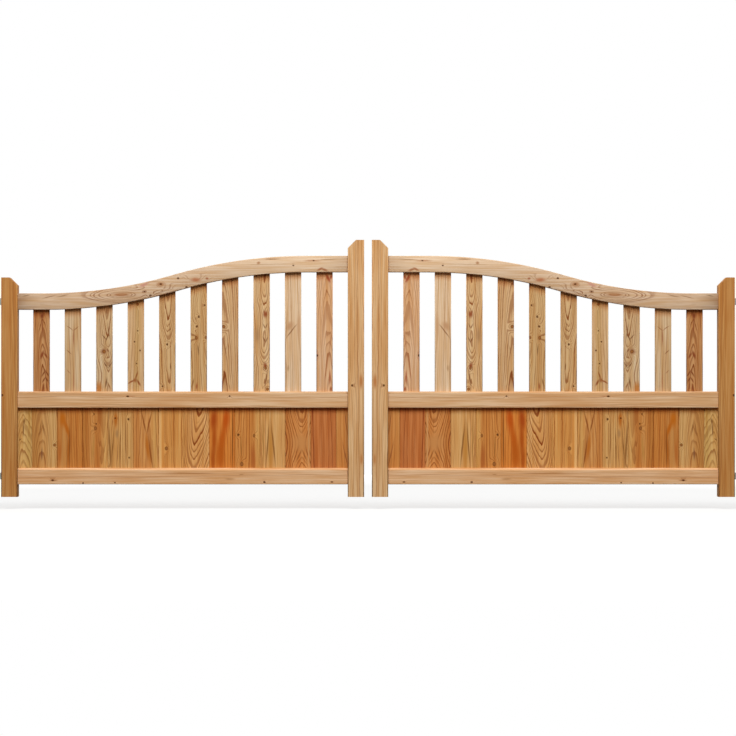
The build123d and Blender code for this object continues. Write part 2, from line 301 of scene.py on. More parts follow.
# The pace of good and bad years, how many rings they move a line by, and a year from pale wood to dark edge
YEARS_PACE = 0.37
YEARS_SWING = 2.4
YEAR_STOPS = ((0.0, 0.0), (0.36, 0.06), (0.6, 0.26), (0.76, 1.0), (0.95, 1.0), (1.0, 0.0))

# A knot's length, and the reach and height of the bulge round it, in its radii. One of more than BIG_KNOT
# millimetres shows its heart. The rings of a swell bulge beyond its rim
KNOT_LENGTH = 1.25
KNOT_REACH = 4.5
KNOT_BULGE = 2.5
BIG_KNOT = 4
SWELL_REACH = 1.5

# What parts of the wood, and crystals of zinc, do to the colour, as shares of red, green and blue
SAP_CAST = (1.04, 1.06, 1.08, 1)
HEART_CAST = (0.97, 0.88, 0.76, 1)
EARLY_CAST = (1.08, 1.11, 1.16, 1)
DARK_FIBRE_CAST = (0.89, 0.79, 0.66, 1)
PALE_FIBRE_CAST = (1.09, 1.19, 1.36, 1)
DULL_CAST = (0.78, 0.78, 0.78, 1)
BRIGHT_CAST = (1.05, 1.05, 1.05, 1)
CRYSTAL_SIZE = 9 * MM
GRIT_SIZE = 3 * MM

WHITE = (1, 1, 1, 1)
EASED = {"interpolation_type": "SMOOTHSTEP"}


def linear(hex_colour):
    """Turn an sRGB hex colour into the linear RGBA that Blender mixes with."""
    values = [int(hex_colour[i : i + 2], 16) / 255 for i in (0, 2, 4)]
    return [v / 12.92 if v <= 0.04045 else ((v + 0.055) / 1.055) ** 2.4 for v in values] + [1.0]


def amount(name, description, default, **more):
    """A number that the user can change."""
    return bpy.props.FloatProperty(name=name, description=description, default=default, **more)


def length(name, description, default):
    """A length that the user can change, given in millimetres."""
    return amount(name, description, default * MM, unit="LENGTH")


def colour(name, description, default):
    """A colour that the user can change, given as sRGB hex."""
    return bpy.props.FloatVectorProperty(
        name=name, description=description, default=linear(default), subtype="COLOR", size=4, min=0.0, max=1.0
    )


class GateTimberSettings(bpy.types.PropertyGroup):
    """Sizes of the worked timber."""

    stile_arris: length("Stile arris", "Radius of a stile's eased edges", 3)
    stile_bevel: length("Stile top bevel", "Size of the bevel on a stile's top", 34)
    rail_height: length("Rail height", "Height of the top rail's section", 68)
    rail_arris: length("Rail arris", "Radius of a rail's eased edges", 2.5)
    tenon_length: length("Tenon length", "Length of a rail's tenon", 45)
    swan_outer_level: length("Outer level", "Top rail's level run at the hanging stile", 108)
    swan_inner_level: length("Inner level", "Top rail's level run at the meeting stile", 171)
    middle_weathering: length("Middle weathering", "Fall of the middle rail's sloped top", 5)
    middle_ridge: length("Middle ridge", "Half width of that rail's ridge", 10.5)
    bottom_weathering: length("Bottom weathering", "Fall of the bottom rail's sloped top", 8)
    bottom_ridge: length("Bottom ridge", "Half width of that rail's ridge", 11.5)
    pale_arris: length("Pale arris", "Radius of a pale's eased edges", 2)
    pale_housing: length("Pale housing", "Length of a pale hidden in the middle rail", 11.7)
    # Length of the band of painted shade on a pale's head, under the top rail
    pale_seal: length("Pale seal", "Creep of oil at a pale's head", 36)
    board_cover: length("Board cover", "Width that one board covers", 105.5)
    outer_board: length("Outer board", "Width of the first board that shows", 57.24)
    board_groove: length("Board groove", "Width of board hidden in a stile or rail", 9.7)
    board_gap: length("Board gap", "Open joint between two boards", 0.6)
    board_vee: length("Board vee", "Chamfer along a board's joints", 2)
    # Length of the band of painted shade on a board's head, under the middle rail
    board_seal: length("Board seal", "Creep of oil at a board's head", 22)
    tongue_length: length("Tongue length", "Length of a board's tongue", 6)
    tongue_depth: length("Tongue depth", "Thickness of a board's tongue", 6)
    post_arris: length("Post arris", "Radius of a post's eased edges", 3)
    post_top_rise: length("Post top rise", "Height of a post's weathered top", 14)
    post_top_run: length("Post top run", "Width of the slopes of a post's top", 48)


class GateColourSettings(bpy.types.PropertyGroup):
    """Colours of the timber and the hinges."""

    frame_stain: colour("Frame stain", "Stain on the stiles and rails, white for none", "FFFFFF")
    pale_stain: colour("Pale stain", "Stain on the pales, white for none", "FFFFFF")
    board_stain: colour("Board stain", "Stain on the boards, white for none", "FFFFFF")
    post_stain: colour("Post stain", "Stain on the posts, white for none", "FFFFFF")
    late_wood: colour("Late wood", "Cast of a ring's dark edge", "A66C34")
    knot_rim: colour("Knot rim", "Dark bark ring of a knot", "522804")
    knot_heart: colour("Knot heart", "Hard wood inside a knot", "A06430")
    # Cast of the painted shade: a warm darkening multiplied onto the heads of the pales and boards, where the
    # rails cast shade
    painted_shade_cast: colour("End sealer", "Warm cast of oil on end grain", "F6D0AE")
    zinc: colour("Zinc", "Zinc coat of the hinges", "9A9FA1")


class GateHingeSettings(bpy.types.PropertyGroup):
    """Sizes of the hinge plates and their screws."""

    plate_width: length("Plate width", "Width of a hinge plate", 40)
    plate_height: length("Plate height", "Height of a hinge plate", 120)
    plate_corner: length("Plate corner", "Radius of a hinge plate's corners", 6)
    plate_thickness: length("Plate", "Thickness of a hinge plate", 6)
    plate_clearance: length("Plate clearance", "Gap round a plate let into a stile", 0.2)
    screw_radius: length("Coach screw", "Radius of a coach screw's head", 7.5)
    screw_height: length("Coach screw height", "Height of a coach screw's head", 5.5)
    screw_ease: length("Coach screw ease", "Radius of the eased rim of its head", 1)
    sunk_radius: length("Sunk screw", "Radius of a sunk screw's head", 6)
    sunk_height: length("Sunk screw height", "Height of a sunk screw's head", 0.5)
    socket_depth: length("Socket depth", "Depth of a sunk screw's socket", 1 / 3)
    socket_taper: length("Socket taper", "How far the socket's wall leans in", 0.1)
    screw_across: length("Screw spacing", "Screw to the middle of its plate, across", 12)
    screw_along: length("Screw row", "Screw to the middle of its plate, upwards", 47)


class GateStageSettings(bpy.types.PropertyGroup):
    """The floor, the light and the camera."""

    floor_colour: colour("Floor", "Colour of the floor", "F4F4F2")
    ground_colour: colour("Ground", "Colour that the floor throws back", "4A4A48")
    floor_glow: amount("Glow", "Share of the floor that shows white", 0.7)
    floor_reach: length("Floor reach", "Middle of the floor to its edges", 5000)
    floor_front: length("Floor front", "Gate to the middle of the floor, forwards", 500)
    floor_drop: length("Floor drop", "Depth of the floor below the posts", 1)
    shadow_reach: length("Shadow reach", "Gate to where the floor starts to whiten", 2500)
    white_reach: length("White reach", "Gate to where the floor is all white", 4500)
    camera_distance: length("Camera distance", "Camera to the face of the gate", 14000)
    camera_height: length("Camera height", "Camera over the ground", 585.7)
    frame_width: length("Frame width", "Width of the view at the gate's face", 3056.6)
    sky: amount("Sky", "Strength of the surrounding light", 0.4)
    back_sky: amount("Back", "Strength of the light from behind", 1.2)
    lamp: amount("Lamp", "Power of the softbox, in watts", 560.0)
    lamp_width: length("Lamp width", "Width of the softbox", 7000)
    lamp_depth: length("Lamp depth", "Depth of the softbox", 4000)
    lamp_front: length("Lamp front", "Gate to the softbox, forwards", 4400)
    lamp_height: length("Lamp height", "Softbox over the ground", 5400)
    lamp_aim: length("Lamp aim", "Height that the softbox points at", 500)


def set_inputs(node, inputs):
    """Link a node's inputs, or set those that are given a plain value."""
    for socket, value in inputs.items():
        if isinstance(value, bpy.types.NodeSocket):
            node.id_data.links.new(value, node.inputs[socket])
        else:
            node.inputs[socket].default_value = value


def add_node(tree, kind, inputs=None, **settings):
    """Add a node with its settings and inputs, and return its outputs."""
    node = tree.nodes.new(f"ShaderNode{kind}")
    for name, value in settings.items():
        setattr(node, name, value)
    set_inputs(node, inputs or {})
    return node.outputs


def new_material(name):
    """Start a material, and return it with what adds its nodes and with its shader."""
    material = bpy.data.materials.new(name)
    material.use_nodes = True
    tree = material.node_tree
    return material, partial(add_node, tree), tree.nodes["Principled BSDF"]


def tinted(add, under, share, first, second):
    """Tint a colour with a cast that goes from the first to the second."""
    cast = add("Mix", {0: share, 6: first, 7: second}, data_type="RGBA")[2]
    return add("Mix", {0: 1.0, 6: under, 7: cast}, data_type="RGBA", blend_type="MULTIPLY")[2]


def laid_over(add, under, over, rim, outer, inner, share, kind="MIX"):
    """Lay one colour over another in a mark: none of it at the outer rim, its full share at the inner."""
    reach = {"Value": rim, "From Min": outer, "From Max": inner, "To Max": share}
    cover = add("MapRange", reach, **EASED)[0]
    return add("Mix", {0: cover, 6: under, 7: over}, data_type="RGBA", blend_type=kind)[2]


def folded_place(add):
    """Object coordinates with the right-hand half folded over the left, so that the leaves share a figure."""
    apart = add("SeparateXYZ", {0: add("TexCoord")["Object"]})
    offset = add("Math", {0: GATE_MIDDLE, 1: apart["X"]}, operation="SUBTRACT")[0]
    aside = add("Math", {0: offset}, operation="ABSOLUTE")[0]
    return add("CombineXYZ", {0: aside, 1: apart["Y"], 2: apart["Z"]})[0]


def grain_noise(add, place, seed, grain, upright):
    """Noise drawn out along the grain, from the real size of its patches."""
    fine, long = 1 / (grain.across * MM), 1 / (grain.along * MM)
    scale = (fine, fine, long) if upright else (long, fine, fine)
    shift = [part * (seed + grain.seed) for part in SEED_SPREAD]
    drawn = add("Mapping", {"Vector": place, "Location": shift, "Scale": scale})[0]
    return add("TexNoise", {"Vector": drawn, "Scale": 1.0, "Detail": grain.detail})


def shaken(add, place, noise, reach):
    """Shake a place about by a coloured noise."""
    centred = add("VectorMath", {0: noise, 1: (0.5, 0.5, 0.5)}, operation="SUBTRACT")[0]
    swing = add("VectorMath", {0: centred, "Scale": reach}, operation="SCALE")[0]
    return add("VectorMath", {0: place, 1: swing}, operation="ADD")[0]


def spot(add, place, centre, size, slant=0):
    """Distance from the middle of an oval on the face, where 1 is its rim."""
    lying = {"Vector": place, "Location": centre, "Rotation": (0, -math.radians(slant), 0), "Scale": size}
    local = add("Mapping", lying, vector_type="TEXTURE")[0]
    return add("VectorMath", {0: local}, operation="LENGTH")["Value"]


def planed_larch(name, kind, stick, low, high, upright, seed, painted_shade=None):
    """Larch, planed and left bare: pale early wood between dark lines of late wood, which run straight where
    the piece was cut beside the heart and arch where it was cut across it, with knots and resin streaks. Low
    and high are the corners of the left-hand piece, as far as it shows."""
    colours = bpy.context.scene.gate_colours
    stain = getattr(colours, f"{kind}_stain")
    material, add, shader = new_material(f"larch_{name}")
    middle = (low + high) / 2
    middle.x = GATE_MIDDLE - middle.x
    start = Vector((middle.x if upright else GATE_MIDDLE - low.x, 0, low.z))

    # The grain wanders a few millimetres over a hand's length, and frays over a finger's
    place = folded_place(add)
    bent = shaken(add, place, grain_noise(add, place, seed, WANDER, upright)["Color"], WANDER_SHIFT)
    frayed = shaken(add, bent, grain_noise(add, place, seed, FRAY, upright)["Color"], FRAY_SHIFT)

    # Growth rings about the middle of the log
    across, behind = (part * MM for part in stick.pith)
    lean_across, lean_behind = (math.radians(part) for part in stick.lean)
    if upright:
        pith = (middle.x - across, behind, middle.z)
        turn = (lean_behind, lean_across, 0)
    else:
        pith = (middle.x, behind, middle.z + across)
        turn = (0, math.pi / 2 + lean_across, lean_behind)
    lying = {"Vector": frayed, "Location": pith, "Rotation": turn}
    log = add("Mapping", lying, vector_type="TEXTURE")[0]
    flat = add("VectorMath", {0: log, 1: (1, 1, 0)}, operation="MULTIPLY")[0]
    radius = add("VectorMath", {0: flat}, operation="LENGTH")["Value"]

    def oval(across, along, half_width, half_length, slant=0):
        """The spot of a mark on the face, from its lengths in millimetres."""
        centre = start + Vector((-across, 0, along)) * MM
        size = (half_width, FAR / MM, half_length) if upright else (half_length, FAR / MM, half_width)
        return spot(add, frayed, centre, [part * MM for part in size], slant)

    # The rings bulge round each knot, and swell where the trunk did
    knots = [oval(knot.across, knot.along, knot.radius, KNOT_LENGTH * knot.radius) for knot in stick.knots]
    swells = [oval(swell.across, swell.along, swell.half_width, swell.half_length) for swell in stick.swells]
    bulges = [(rim, KNOT_REACH, KNOT_BULGE * knot.radius) for knot, rim in zip(stick.knots, knots)]
    bulges += [(rim, SWELL_REACH, swell.rings * stick.ring) for swell, rim in zip(stick.swells, swells)]
    for rim, reach, rise in bulges:
        hill = {"Value": rim, "From Min": reach, "From Max": 0.0, "To Max": rise * MM}
        bulge = add("MapRange", hill, **EASED)[0]
        radius = add("Math", {0: radius, 1: bulge}, operation="ADD")[0]

    # Some years leave a stronger line than others. Real rings are 2 to 3 mm: these are coarser, so as to show
    years = add("Math", {0: radius, 1: stick.ring * MM}, operation="DIVIDE")[0]
    seasons = add("TexNoise", {"W": years, "Scale": YEARS_PACE, "Detail": 1.0}, noise_dimensions="1D")[0]
    uneven = add("Math", {0: seasons, 1: YEARS_SWING, 2: years}, operation="MULTIPLY_ADD")[0]
    ring = add("Math", {0: uneven}, operation="FRACT")[0]
    year = add("Math", {0: uneven}, operation="FLOOR")[0]
    vigour = add("TexWhiteNoise", {"W": year}, noise_dimensions="1D")["Value"]
    late = add("ValToRGB", {0: ring})[0]
    stops = late.node.color_ramp.elements
    while len(stops) < len(YEAR_STOPS):
        stops.new(1.0)
    for stop, (part, grey) in zip(stops, YEAR_STOPS):
        stop.position = part
        stop.color = (grey, grey, grey, 1)
    lines = {"Value": vigour, "From Min": 0.1, "To Min": stick.line / 4, "To Max": stick.line}
    strength = add("MapRange", lines, **EASED)[0]
    for swell, rim in zip(stick.swells, swells):
        if swell.line:
            inside = {"Value": rim, "From Min": SWELL_REACH, "From Max": 0.9, "To Max": swell.line}
            local = add("MapRange", inside, **EASED)[0]
            strength = add("Math", {0: strength, 1: local}, operation="ADD")[0]
    shade = add("Math", {0: late, 1: strength}, operation="MULTIPLY")[0]

    def stained(hex_colour):
        """A timber colour under the stain."""
        return [part * cover for part, cover in zip(linear(hex_colour), stain)]

    # The colour drifts from yellow sapwood to orange heart, and the fibres are drawn coarse enough to show
    drift = grain_noise(add, place, seed, DRIFT, upright)["Fac"]
    hearty = {"Value": drift, "From Min": 0.38, "From Max": 0.68, "To Max": stick.drift}
    heart = add("MapRange", hearty, **EASED)[0]
    shown = tinted(add, stained(stick.tone), heart, SAP_CAST, HEART_CAST)
    for band in stick.bands:
        rim = spot(add, bent, (start.x - band.across * MM, 0, 0), (band.half_width * MM, FAR, FAR))
        shown = laid_over(add, shown, stained(band.colour), rim, outer=1.6, inner=0.0, share=0.8)
    shown = tinted(add, shown, shade, EARLY_CAST, colours.late_wood)
    fibre = grain_noise(add, place, seed, FIBRE, upright)["Fac"]
    pale = add("MapRange", {"Value": fibre, "From Min": 0.25, "From Max": 0.75}, **EASED)[0]
    shown = tinted(add, shown, pale, DARK_FIBRE_CAST, PALE_FIBRE_CAST)

    for streak in stick.streaks:
        rim = oval(streak.across, streak.along, streak.half_width, streak.half_length, streak.slant)
        shown = laid_over(add, shown, stained(streak.colour), rim, outer=1.2, inner=0.2, share=0.9)
    for knot, rim in zip(stick.knots, knots):
        shown = laid_over(add, shown, colours.knot_rim, rim, outer=1.3, inner=0.8, share=0.9)
        if knot.radius > BIG_KNOT:
            shown = laid_over(add, shown, colours.knot_heart, rim, outer=0.95, inner=0.6, share=0.8)
    # Painted shade: a warm, darker band multiplied onto the head of a pale or board, where the rail above
    # casts its shade
    if painted_shade:
        rim = oval(0, painted_shade.along, FAR / MM, painted_shade.half_length, painted_shade.slant)
        shown = laid_over(add, shown, colours.painted_shade_cast, rim, outer=1.2, inner=0.2, share=1.0, kind="MULTIPLY")

    # Bare planed wood has open fibres that break up its shine
    gloss = {"Value": fibre, "From Min": 0.3, "From Max": 0.7, "To Min": 0.62, "To Max": 0.78}
    raised = add("Math", {0: shade, 1: 0.4, 2: fibre}, operation="MULTIPLY_ADD")[0]
    finish = {
        "Base Color": shown,
        "Roughness": add("MapRange", gloss, **EASED)[0],
        "Specular IOR Level": 0.12,
        "Normal": add("Bump", {"Height": raised, "Strength": 0.35, "Distance": 0.5 * MM})[0],
    }
    set_inputs(shader, finish)
    return material


def galvanised_steel():
    """Steel dipped in molten zinc: a dull grey metal with faint crystal patches."""
    zinc = bpy.context.scene.gate_colours.zinc
    material, add, shader = new_material("galvanised_steel")
    place = add("TexCoord")["Object"]
    cells = add("TexVoronoi", {"Vector": place, "Scale": 1 / CRYSTAL_SIZE})
    crystal = add("SeparateColor", {0: cells["Color"]})[0]
    bright = add("MapRange", {"Value": crystal}, **EASED)[0]
    grit = add("TexNoise", {"Vector": place, "Scale": 1 / GRIT_SIZE})[0]
    finish = {
        "Base Color": tinted(add, zinc, bright, DULL_CAST, BRIGHT_CAST),
        "Roughness": add("MapRange", {"Value": crystal, "To Min": 0.42, "To Max": 0.6}, **EASED)[0],
        "Metallic": 1.0,
        "Normal": add("Bump", {"Height": grit, "Strength": 0.2, "Distance": 0.2 * MM})[0],
    }
    set_inputs(shader, finish)
    return material


def fill_by_place(bm, mesh):
    """Fill a mesh, its parts numbered by place: a bevel leaves them in another order on each run."""
    bm.verts.sort(key=lambda vert: vert.co.dot(ORDER))
    bm.edges.sort(key=lambda edge: (edge.verts[0].co + edge.verts[1].co).dot(ORDER))
    bm.faces.sort(key=lambda face: face.calc_center_median().dot(ORDER))
    bm.to_mesh(mesh)
    for face in mesh.polygons:
        loops = [mesh.loops[i] for i in face.loop_indices]
        corners = [(loop.vertex_index, loop.edge_index) for loop in loops]
        first = corners.index(min(corners))
        for loop, corner in zip(loops, corners[first:] + corners[:first]):
            loop.vertex_index, loop.edge_index = corner


def finish_piece(bm, side, slot, material, name, body, *nodes):
    """Turn a left-hand shape into the piece of its side, which rides on a body and stands for CAD nodes."""
    if side == "right":
        bmesh.ops.scale(bm, vec=(-1, 1, 1), space=Matrix.Translation((-GATE_MIDDLE, 0, 0)), verts=bm.verts)
    bmesh.ops.recalc_face_normals(bm, faces=bm.faces)
    mesh = bpy.data.meshes.new(name)
    fill_by_place(bm, mesh)
    bm.free()
    mesh.materials.append(material)
    piece = bpy.data.objects.new(name, mesh)
    bpy.context.scene.collection.objects.link(piece)
    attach(piece, body)
    if nodes:
        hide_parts(*nodes)


def finish_pair(bm, slot, material, *names):
    """Finish a shape for both sides, from the names of the left-hand piece, its body and its CAD node."""
    for side in SIDES:
        finish_piece(bm.copy(), side, slot, material, *(name.replace("left", side) for name in names))
    bm.free()


def block(low, high):
    """A solid block between two corners."""
    bm = bmesh.new()
    bmesh.ops.create_cube(bm, size=1.0, matrix=Matrix.LocRotScale((low + high) / 2, None, high - low))
    return bm


def shave(bm, point, normal):
    """Plane away what lies beyond a plane, and close the cut."""
    geometry = bm.verts[:] + bm.edges[:] + bm.faces[:]
    bmesh.ops.bisect_plane(bm, geom=geometry, dist=SNAP, plane_co=point, plane_no=normal, clear_outer=True)
    bmesh.ops.holes_fill(bm, edges=[edge for edge in bm.edges if edge.is_boundary])


def ease(bm, geometry, radius, segments=3, kind="EDGES"):
    """Round or chamfer a run of edges, or the corners of a flat face."""
    made = bmesh.ops.bevel(
        bm, geom=geometry, offset=radius, affect=kind, segments=segments, profile=0.5, material=-1
    )
    for face in made["faces"]:
        face.smooth = kind == "EDGES" and segments > 1


def edges_along(bm, axis):
    """The edges that run along an axis."""
    ways = [(edge, (edge.verts[1].co - edge.verts[0].co).normalized()) for edge in bm.edges]
    return [edge for edge, way in ways if abs(way.dot(axis)) > ALIGNED]


class GATE_OT_posts(bpy.types.Operator):
    """Make the two hanging posts"""

    bl_idname = "gate.posts"
    bl_label = "Posts"

    def execute(self, context):
        sizes = context.scene.gate_timber
        low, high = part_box("left_post")
        material = planed_larch("post", "post", POST, low, high, upright=True, seed=1.7)
        bm = block(low, high)
        for way in (ALONG, -ALONG, BACK, -BACK):
            edge = (low + high) / 2 + way * (high.x - low.x) / 2
            edge.z = high.z - sizes.post_top_rise
            shave(bm, edge, way * sizes.post_top_rise + UP * sizes.post_top_run)
        ease(bm, edges_along(bm, UP), sizes.post_arris)
        finish_pair(bm, "post_timber", material, "left_post_wood", "posts", "left_post")
        return {"FINISHED"}


class GATE_OT_stiles(bpy.types.Operator):
    """Make the hanging and meeting stiles, each with its top bevelled towards the rails"""

    bl_idname = "gate.stiles"
    bl_label = "Stiles"

    def execute(self, context):
        sizes = context.scene.gate_timber
        stiles = (("hanging_stile", HANGING_STILE, 1, 2.3), ("meeting_stile", MEETING_STILE, -1, 4.9))
        for kind, stick, rail_side, seed in stiles:
            node = f"left_{kind}"
            low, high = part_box(node)
            material = planed_larch(kind, "frame", stick, low, high, True, seed)
            corner = Vector((high.x if rail_side > 0 else low.x, 0, high.z))
            bm = block(low, high)
            shave(bm, corner - UP * sizes.stile_bevel, Vector((rail_side, 0, 1)))
            ease(bm, edges_along(bm, UP), sizes.stile_arris)
            if kind == "hanging_stile":
                for level in LEVELS:
                    plate_low, plate_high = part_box(f"left_{level}_eye")
                    centre = Vector((low.x, 0, (plate_low.z + plate_high.z) / 2))
                    self.recess(bm, centre, high.y - sizes.stile_arris, context.scene.gate_hinges)
            finish_pair(bm, "frame_timber", material, f"{node}_wood", "left_leaf", node)
        return {"FINISHED"}

    @staticmethod
    def recess(bm, centre, reach, hinge):
        """Sink a bed for a hinge plate into the outer face, which has so much reach beside the centre."""

        def nearest():
            return min(bm.faces, key=lambda face: (face.calc_center_median() - centre).length)

        margin = reach - hinge.plate_width / 2 - hinge.plate_clearance
        for way in (-1, 1):
            outer = [face for face in bm.faces if abs(face.calc_center_median().x - centre.x) < NEAR]
            geometry = outer + list({item for face in outer for item in [*face.edges, *face.verts]})
            level = centre + UP * way * (hinge.plate_height / 2 + hinge.plate_clearance + margin)
            bmesh.ops.bisect_plane(bm, geom=geometry, plane_co=level, plane_no=UP)
        bed = nearest()
        bmesh.ops.inset_individual(bm, faces=[bed], thickness=margin, use_even_offset=True)
        ease(bm, bed.verts[:], hinge.plate_corner, segments=4, kind="VERTICES")
        bed = nearest()
        bmesh.ops.inset_individual(bm, faces=[bed], thickness=HAIR)
        bmesh.ops.translate(bm, vec=ALONG * hinge.plate_thickness, verts=bed.verts)


class GATE_OT_straight_rails(bpy.types.Operator):
    """Make the middle and bottom rails, their tops sloped to shed water"""

    bl_idname = "gate.straight_rails"
    bl_label = "Straight rails"

    def execute(self, context):
        sizes = context.scene.gate_timber
        for kind, stick, fall, ridge, seed in (
            ("middle_rail", MIDDLE_RAIL, sizes.middle_weathering, sizes.middle_ridge, 6.1),
            ("bottom_rail", BOTTOM_RAIL, sizes.bottom_weathering, sizes.bottom_ridge, 8.6),
        ):
            node = f"left_{kind}"
            low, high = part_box(node)
            low, high = low + ALONG * sizes.tenon_length, high - ALONG * sizes.tenon_length
            material = planed_larch(kind, "frame", stick, low, high, False, seed)
            bm = block(low, high)
            for face in (-1, 1):
                shave(bm, Vector((low.x, face * ridge, high.z)), Vector((0, face * fall, high.y - ridge)))
            faces = [edge for edge in edges_along(bm, ALONG) if abs(edge.verts[0].co.y) > high.y - NEAR]
            ease(bm, faces, sizes.rail_arris)
            finish_pair(bm, "frame_timber", material, f"{node}_wood", "left_leaf", node)
        return {"FINISHED"}


class GATE_OT_top_rails(bpy.types.Operator):
    """Make the swan-neck top rails: level, two equal arcs, and level again"""

    bl_idname = "gate.top_rails"
    bl_label = "Top rails"

    def execute(self, context):
        sizes = context.scene.gate_timber
        low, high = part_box("left_top_rail")
        low, high = low + ALONG * sizes.tenon_length, high - ALONG * sizes.tenon_length
        rise = high.z - low.z - sizes.rail_height
        run = high.x - low.x - sizes.swan_outer_level - sizes.swan_inner_level
        radius = (run**2 + rise**2) / (4 * rise)
        turn = 2 * math.atan2(rise, run)
        middle = low.z + sizes.rail_height / 2
        above = Vector((low.x + sizes.swan_outer_level, 0, middle + radius))
        below = Vector((above.x + run, 0, middle + rise - radius))
        material = planed_larch("top_rail", "frame", TOP_RAIL, low, high, upright=False, seed=10.4)
        turned, size = Euler((0, math.pi / 2, 0)), Vector((sizes.rail_height, high.y - low.y, 1))
        section = Matrix.LocRotScale(Vector((low.x, 0, middle)), turned, size)
        bm = bmesh.new()
        bmesh.ops.create_grid(bm, x_segments=1, y_segments=1, size=0.5, matrix=section)
        ease(bm, bm.verts[:], sizes.rail_arris, kind="VERTICES")
        bmesh.ops.delete(bm, geom=bm.faces[:], context="FACES_ONLY")
        outer = bm.edges[:]
        inner = self.draw_out(bm, outer, sizes.swan_outer_level)
        inner = self.sweep(bm, inner, above, -turn)
        inner = self.sweep(bm, inner, below, turn)
        inner = self.draw_out(bm, inner, sizes.swan_inner_level)
        for face in bm.faces:
            face.smooth = True
        bmesh.ops.edgeloop_fill(bm, edges=outer)
        bmesh.ops.edgeloop_fill(bm, edges=inner)
        finish_pair(bm, "frame_timber", material, "left_top_rail_wood", "left_leaf", "left_top_rail")
        return {"FINISHED"}

    @staticmethod
    def draw_out(bm, edges, run):
        """Extrude a section straight along the rail, and return its new edges."""
        made = bmesh.ops.extrude_edge_only(bm, edges=edges)["geom"]
        points = [item for item in made if isinstance(item, bmesh.types.BMVert)]
        bmesh.ops.translate(bm, vec=ALONG * run, verts=points)
        return [item for item in made if isinstance(item, bmesh.types.BMEdge)]

    @staticmethod
    def sweep(bm, edges, centre, angle):
        """Spin a section through an arc, and return its new edges."""
        points = list({vert for edge in edges for vert in edge.verts})
        made = bmesh.ops.spin(
            bm, geom=edges + points, cent=centre, axis=BACK, angle=angle, steps=ARC_STEPS, use_merge=False
        )
        return [item for item in made["geom_last"] if isinstance(item, bmesh.types.BMEdge)]


class GATE_OT_pales(bpy.types.Operator):
    """Make the pales that stand between the middle rail and the top rail"""

    bl_idname = "gate.pales"
    bl_label = "Pales"

    def execute(self, context):
        sizes = context.scene.gate_timber
        tips = [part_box(f"left_pale_{number}")[1] for number in range(1, len(PALES) + 1)]
        for number, stick in enumerate(PALES, start=1):
            node = f"left_pale_{number}"
            low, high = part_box(node)
            foot = low + UP * sizes.pale_housing
            # The band of painted shade lies on the pale's head, under the top rail, and slants as the rail
            # climbs
            climb = tips[min(number, len(tips) - 1)] - tips[max(number - 2, 0)]
            slope = climb.z / climb.x
            head = high.z - foot.z - sizes.pale_housing - slope * (high.x - low.x) / 2
            painted_shade = PaintedShade(head / MM, sizes.pale_seal / MM, -math.degrees(math.atan(slope)))
            seed = 12.0 + 1.3 * number
            material = planed_larch(f"pale_{number}", "pale", stick, foot, high, True, seed, painted_shade)
            bm = block(low, high)
            ease(bm, edges_along(bm, UP), sizes.pale_arris)
            finish_pair(bm, "pale_timber", material, f"{node}_wood", "left_leaf", node)
        return {"FINISHED"}


class GATE_OT_boards(bpy.types.Operator):
    """Make the tongued and grooved boards between the middle and bottom rails"""

    bl_idname = "gate.boards"
    bl_label = "Boards"

    def execute(self, context):
        sizes = context.scene.gate_timber
        low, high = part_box("left_boarding")
        first = low.x + sizes.board_groove + sizes.outer_board
        joints = [first + sizes.board_cover * i for i in range(len(BOARDS) - 1)]
        lefts = [low.x] + [joint + sizes.board_gap / 2 for joint in joints]
        rights = [joint - sizes.board_gap / 2 for joint in joints] + [high.x]
        for number, (stick, left, right) in enumerate(zip(BOARDS, lefts, rights), start=1):
            base, tip = Vector((left, low.y, low.z)), Vector((right, high.y, high.z))
            foot = base + UP * sizes.board_groove
            # The band of painted shade lies on the board's head, under the middle rail
            painted_shade = PaintedShade((tip.z - foot.z - sizes.board_groove) / MM, sizes.board_seal / MM)
            seed = 30.0 + 1.7 * number
            material = planed_larch(f"board_{number}", "board", stick, foot, tip, True, seed, painted_shade)
            bm = block(base, tip)
            for place in (left, right):
                if low.x < place < high.x:
                    self.joint_edge(bm, place, sizes)
            finish_pair(bm, "board_timber", material, f"left_board_{number}", "left_leaf", "left_boarding")
        return {"FINISHED"}

    @staticmethod
    def joint_edge(bm, place, sizes):
        """Chamfer a jointed edge, then draw its strip inwards: out for a tongue, in for a groove."""
        corners = [edge for edge in edges_along(bm, UP) if abs(edge.verts[0].co.x - place) < NEAR]
        ease(bm, corners, sizes.board_vee, segments=1)
        strip = min(bm.faces, key=lambda face: abs(face.calc_center_median().x - place))
        depths = [vert.co.y for vert in strip.verts]
        shoulder = (max(depths) - min(depths) - sizes.tongue_depth) / 2
        bmesh.ops.inset_individual(bm, faces=[strip], thickness=shoulder, use_even_offset=True)
        bmesh.ops.inset_individual(bm, faces=[strip], thickness=HAIR)
        bmesh.ops.translate(bm, vec=ALONG * sizes.tongue_length, verts=strip.verts)


